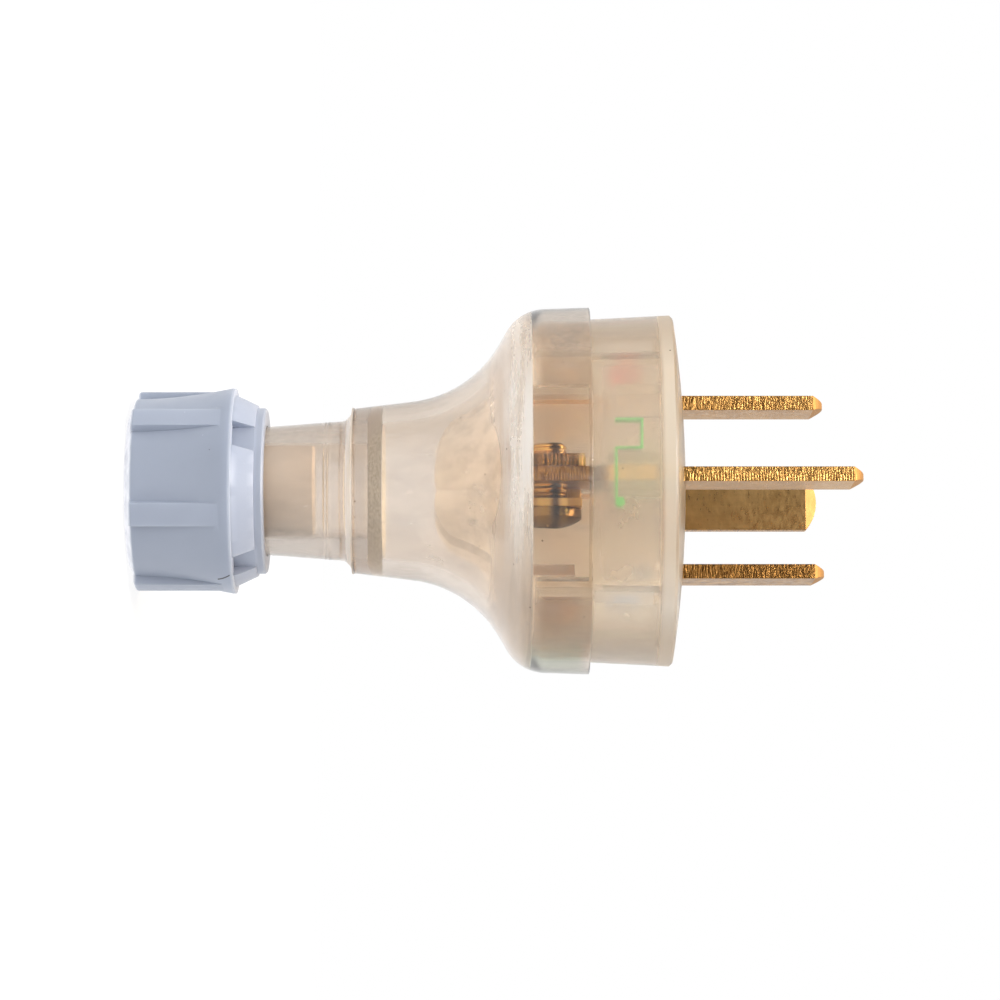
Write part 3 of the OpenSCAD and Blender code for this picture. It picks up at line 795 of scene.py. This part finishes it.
def soften(ob, width, angle):
    """Small rounded edges on a CAD node."""
    weld = ob.modifiers.new("weld", "WELD")
    weld.merge_threshold = WELD_GAP * MM
    flat = ob.modifiers.new("flat", "DECIMATE")
    flat.decimate_type = "DISSOLVE"
    flat.angle_limit = math.radians(FLAT_ANGLE)
    edge = ob.modifiers.new("edge", "BEVEL")
    edge.width = width * MM
    edge.segments = EDGE_SEGMENTS
    edge.limit_method = "ANGLE"
    edge.angle_limit = math.radians(angle)
    edge.harden_normals = False
    edge.use_clamp_overlap = True
    shade = ob.modifiers.new("shade", "WEIGHTED_NORMAL")
    shade.keep_sharp = True


def dress(name, mat, edge, angle=EDGE_ANGLE):
    """Gives a CAD node its material and rounded edges of that width."""
    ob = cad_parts[name]
    ob.data.materials.clear()
    ob.data.materials.append(mat)
    soften(ob, edge, angle)


# Clear bell
def flare_line(depth):
    """Hollow flare and round shoulder, as a line at a depth below the outer surface."""
    cd, sd = math.cos(math.radians(DRAFT)), math.sin(math.radians(DRAFT))
    cf, sf = math.cos(math.radians(FLANK)), math.sin(math.radians(FLANK))
    hollow = (FLARE_R + FLARE_CURVE * cd, FLARE_Z - FLARE_CURVE * sd)
    end = (hollow[0] - FLARE_CURVE * cf, hollow[1] + FLARE_CURVE * sf)
    top = (end[0] + FLANK_LEN * sf, end[1] + FLANK_LEN * cf)
    shoulder = (top[0] - SHOULDER * cf, top[1] + SHOULDER * sf)
    return (arc(hollow, FLARE_CURVE + depth, 180 - DRAFT, 180 - FLANK, 20)
            + arc(shoulder, SHOULDER - depth, -FLANK, -SKIRT_ANGLE, 20))


def neck_line():
    """Points of the flash ridges on the tapered neck, then the hollow step up to the throat."""
    taper = (NECK_HIGH - NECK_LOW) / (NECK_HIGH_Z - NECK_LOW_Z)
    heights = [FLASH_Z + ridge + k * FLASH_HALF for ridge in FLASH_RIDGES for k in (-1, 0, 1)]
    flash = [(NECK_LOW + taper * (z - NECK_LOW_Z), z) for z in heights]
    return flash + arc((NECK_HIGH + STEP_R, NECK_HIGH_Z), STEP_R, 180, 96, 8)


def bell_outline():
    """Up the outside from the neck's end to the skirt's rim, then down the inside to the bore."""
    outer = flare_line(0)
    cone_top = BORE_TOP + BORE_CONE
    inner = [p for p in flare_line(FLARE_WALL) if cone_top < p[1] < SEAT_Z]
    skirt = outer[-1][0] + (SKIRT_Z - outer[-1][1]) * math.tan(math.radians(SKIRT_ANGLE))
    skirt_in = skirt - SKIRT_WALL
    throat_in = inner[0][0] - (inner[0][1] - cone_top) * math.tan(math.radians(DRAFT))
    corners = [((NECK_BORE, NECK_END), 0.2),
               ((THREAD_R - THREAD_CHAMFER, NECK_END), 0.12),
               ((THREAD_R, NECK_END + THREAD_CHAMFER), 0.2),
               ((THREAD_R, THREAD_TOP), 0),
               ((NECK_LOW, NECK_LOW_Z), 0.2)]
    corners += [(p, 0) for p in neck_line()]
    corners += [((THROAT_R + THROAT_LIP, THROAT_Z - 0.02), 0.05),
                ((THROAT_R + 0.02, THROAT_Z + THROAT_LIP_HEIGHT), 0)]
    corners += [(p, 0) for p in outer]
    corners += [((skirt, SKIRT_Z), 0.1),
                ((skirt_in, SKIRT_Z), 0.15),
                ((skirt_in - SEAT_DRAFT, SEAT_Z), 0.15),
                ((inner[-1][0], SEAT_Z), 0.2)]
    corners += [(p, 0) for p in inner[::-1]]
    corners += [((throat_in, cone_top), 0.2),
                ((NECK_BORE, BORE_TOP), 0.15)]
    return densify(round_corners(corners), BELL_STEP)


def flash_height(z, a):
    """Two ragged ridges of flash round the neck."""
    ragged = 0.85 + 0.08 * math.sin(17 * a + 1) + 0.07 * math.sin(41 * a) * math.sin(7 * a)
    near = min(abs(z - FLASH_Z - ridge) for ridge in FLASH_RIDGES)
    return FLASH_HEIGHT * ragged * max(0.0, 1 - near / FLASH_HALF)


def thread_depth(z, a):
    """Helical groove that fades out at the top of the thread."""
    turn = (z / THREAD_PITCH + a / (2 * math.pi)) % 1.0
    groove = min(1.0, max(0.0, (abs(turn - 0.5) - THREAD_CREST) * THREAD_SLOPE))
    fade = min(1.0, (THREAD_STOP - z) / THREAD_FADE)
    return (THREAD_R - THREAD_ROOT) * groove * fade


def neck_shape(r, z, a):
    """Radius of the bell at an angle, with its flash and its thread."""
    if NECK_LOW < r < NECK_HIGH and abs(z - FLASH_Z) < FLASH_ZONE:
        return r + flash_height(z, a)
    if abs(r - THREAD_R) <= 0.02 and THREAD_START <= z <= THREAD_STOP:
        return r - thread_depth(z, a)
    return r


bell = lathe("bell", bell_outline(), neck_shape, BELL_SEGMENTS)
bell.data.materials.append(clear_plastic())
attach(bell, "plug_body")
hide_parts("rear_housing")

# CAD pieces that keep their shape
dress("pin_carrier", hazy_plastic(), edge=0.15)
dress("gland_nut", nut_plastic(), edge=0.16, angle=25)
dress("cord_grip", grip_plastic(), edge=0.12)

ALONG_X = (1, 0, 0)
ALONG_Y = (0, 1, 0)
PIN_EDGE = 0.07
brass_earth = brass("brass_sheared_earth", ALONG_Y, teeth=PIN_TEETH, indoors=0.4, shade=PIN_SHADE)
dress("earth_pin", brass_earth, PIN_EDGE)
dress("phase_pin_red", brass("brass_sheared_y", ALONG_Y), PIN_EDGE)
dress("phase_pin_blue", brass("brass_sheared_dark", ALONG_Y, age=0.5), PIN_EDGE)
dress("phase_pin_white", brass("brass_sheared_x", ALONG_X, light=0.2), PIN_EDGE)

brass_old = brass("brass_old", age=0.7, polish=1.1)
brass_nut = brass("brass_nut", ALONG_Y, teeth=NUT_TEETH, teeth_x=NUT_TEETH_X, age=0.2, polish=0.6,
                  shine=NUT_GLEAM)
brass_saddle = brass("brass_saddle", age=0.1, polish=1.3, shine=GLEAMS, shade=SADDLE_SHADE)
brass_screw = brass("brass_screw", age=0.3, thread=SCREW_PITCH, polish=0.7, shine=GLEAMS, shade=SADDLE_SHADE)
for n in ("earth", "red", "white", "blue"):
    dress("terminal_screw_" + n, brass_screw if n == "earth" else brass_old, edge=0.08)
    dress("terminal_nut_" + n, brass_nut, edge=0.3)
    dress("wire_saddle_" + n, brass_saddle if n == "earth" else brass_old, edge=0.1)

for n, material, tone_a, tone_b in (("earth", "green_plastic", rgb(84, 226, 92), rgb(64, 210, 80)),
                                    ("red", "red_plastic", rgb(225, 60, 45), rgb(200, 45, 35)),
                                    ("white", "white_plastic", rgb(238, 236, 230), rgb(226, 222, 214)),
                                    ("blue", "blue_plastic", rgb(150, 170, 205), rgb(132, 152, 190))):
    dress("colour_tab_" + n, tab_plastic(material, tone_a, tone_b), edge=0.08)

# Stage, with the lamp's power in watts
FLOOR_R = 4000
FLOOR_NEAR = 120
FLOOR_FAR = 450
FLOOR_TONE = (0.16, 0.16, 0.16, 1)
FLOOR_GLOW = 0.96
FLOOR_GLOW_SEEN = 0.84
WHITE = (1, 1, 1, 1)
DIM_SIDE = (0.07, 0.067, 0.064, 1)
PALE_SIDE = (0.88, 0.88, 0.88, 1)
LAMP_PLACE = (-100, -220, 720)
LAMP_AIM = (0, 0, 30)
LAMP_SIZE = 350
LAMP_POWER = 9.5


def floor_material():
    """Pale floor that keeps the shadow near the part and is plain white far away."""
    m = bpy.data.materials.new("floor_white")
    m.use_nodes = True
    nt = m.node_tree
    nt.nodes.clear()
    out = node(nt, "ShaderNodeOutputMaterial")
    away = vec(nt, "LENGTH", node(nt, "ShaderNodeTexCoord").outputs["Object"])
    far = span(nt, away, FLOOR_NEAR * MM, FLOOR_FAR * MM, smooth=True)
    soft = node(nt, "ShaderNodeBsdfDiffuse", {0: FLOOR_TONE})
    seen = node(nt, "ShaderNodeLightPath").outputs["Is Camera Ray"]
    strength = add_up(nt, FLOOR_GLOW, (seen, FLOOR_GLOW_SEEN - FLOOR_GLOW))
    glow = node(nt, "ShaderNodeEmission", {0: WHITE, 1: strength})
    near = node(nt, "ShaderNodeAddShader", {0: soft.outputs[0], 1: glow.outputs[0]})
    white = node(nt, "ShaderNodeEmission", {0: WHITE, 1: 1.0})
    mix = node(nt, "ShaderNodeMixShader", {0: far, 1: near.outputs[0], 2: white.outputs[0]})
    nt.links.new(mix.outputs[0], out.inputs[0])
    return m


def floor_plane():
    """Round floor at the foot of the gland nut."""
    bm = bmesh.new()
    bmesh.ops.create_circle(bm, cap_ends=True, segments=64, radius=FLOOR_R * MM)
    me = bpy.data.meshes.new("floor")
    bm.to_mesh(me)
    bm.free()
    ob = bpy.data.objects.new("floor", me)
    scene.collection.objects.link(ob)
    me.materials.append(floor_material())


def studio_world():
    """Soft light from all round, dim on the viewer's side, with a white background."""
    world = bpy.data.worlds.new("studio")
    scene.world = world
    world.use_nodes = True
    nt = world.node_tree
    nt.nodes.clear()
    out = node(nt, "ShaderNodeOutputWorld")
    toward = node(nt, "ShaderNodeSeparateXYZ", {0: node(nt, "ShaderNodeTexCoord").outputs["Generated"]})
    front = span(nt, toward.outputs[1], -0.9, 0.1, smooth=True)
    light = blend(nt, front, DIM_SIDE, PALE_SIDE)
    path = node(nt, "ShaderNodeLightPath").outputs
    bounced = calc(nt, "ADD", path["Glossy Depth"], path["Diffuse Depth"])
    through = product(nt, path["Is Transmission Ray"], below(nt, bounced, 0.5))
    direct = most(nt, path["Is Camera Ray"], through)
    sky = node(nt, "ShaderNodeBackground", {0: blend(nt, direct, light, WHITE), 1: 1.0})
    nt.links.new(sky.outputs[0], out.inputs[0])


def lamp_above():
    """One large soft lamp above the part, on the viewer's side."""
    data = bpy.data.lights.new("lamp_above", "AREA")
    data.shape = "DISK"
    data.size = LAMP_SIZE * MM
    data.energy = LAMP_POWER
    ob = bpy.data.objects.new("lamp_above", data)
    scene.collection.objects.link(ob)
    ob.location = Vector(LAMP_PLACE) * MM
    ob.rotation_euler = (Vector(LAMP_AIM) - Vector(LAMP_PLACE)).to_track_quat("-Z", "Y").to_euler()


floor_plane()
studio_world()
lamp_above()

# Camera, turned a quarter turn about its view so that the plug lies across the picture
CAMERA_AZIMUTH = 8.5
CAMERA_DISTANCE = 419
VIEW_WIDTH = 112.36
VIEW_CENTRE_Z = 41.39
VIEW_CENTRE_UP = -1.01
SENSOR = 36


def photo_camera():
    """Camera at the height of the plug's middle, with +Z to the right of the picture."""
    az = math.radians(CAMERA_AZIMUTH)
    back = Vector((math.sin(az), -math.cos(az), 0))
    up = Vector((-math.cos(az), -math.sin(az), 0))
    right = Vector((0, 0, 1))
    data = bpy.data.cameras.new("camera")
    data.sensor_width = SENSOR
    data.lens = SENSOR * CAMERA_DISTANCE / VIEW_WIDTH
    cam = bpy.data.objects.new("camera", data)
    scene.collection.objects.link(cam)
    eye = (right * VIEW_CENTRE_Z + back * CAMERA_DISTANCE + up * VIEW_CENTRE_UP) * MM
    cam.matrix_world = Matrix((
        (right.x, up.x, back.x, eye.x),
        (right.y, up.y, back.y, eye.y),
        (right.z, up.z, back.z, eye.z),
        (0, 0, 0, 1)))
    scene.camera = cam


photo_camera()

scene.view_settings.view_transform = "Standard"
scene.cycles.max_bounces = 20
scene.cycles.transmission_bounces = 20
scene.cycles.transparent_max_bounces = 24
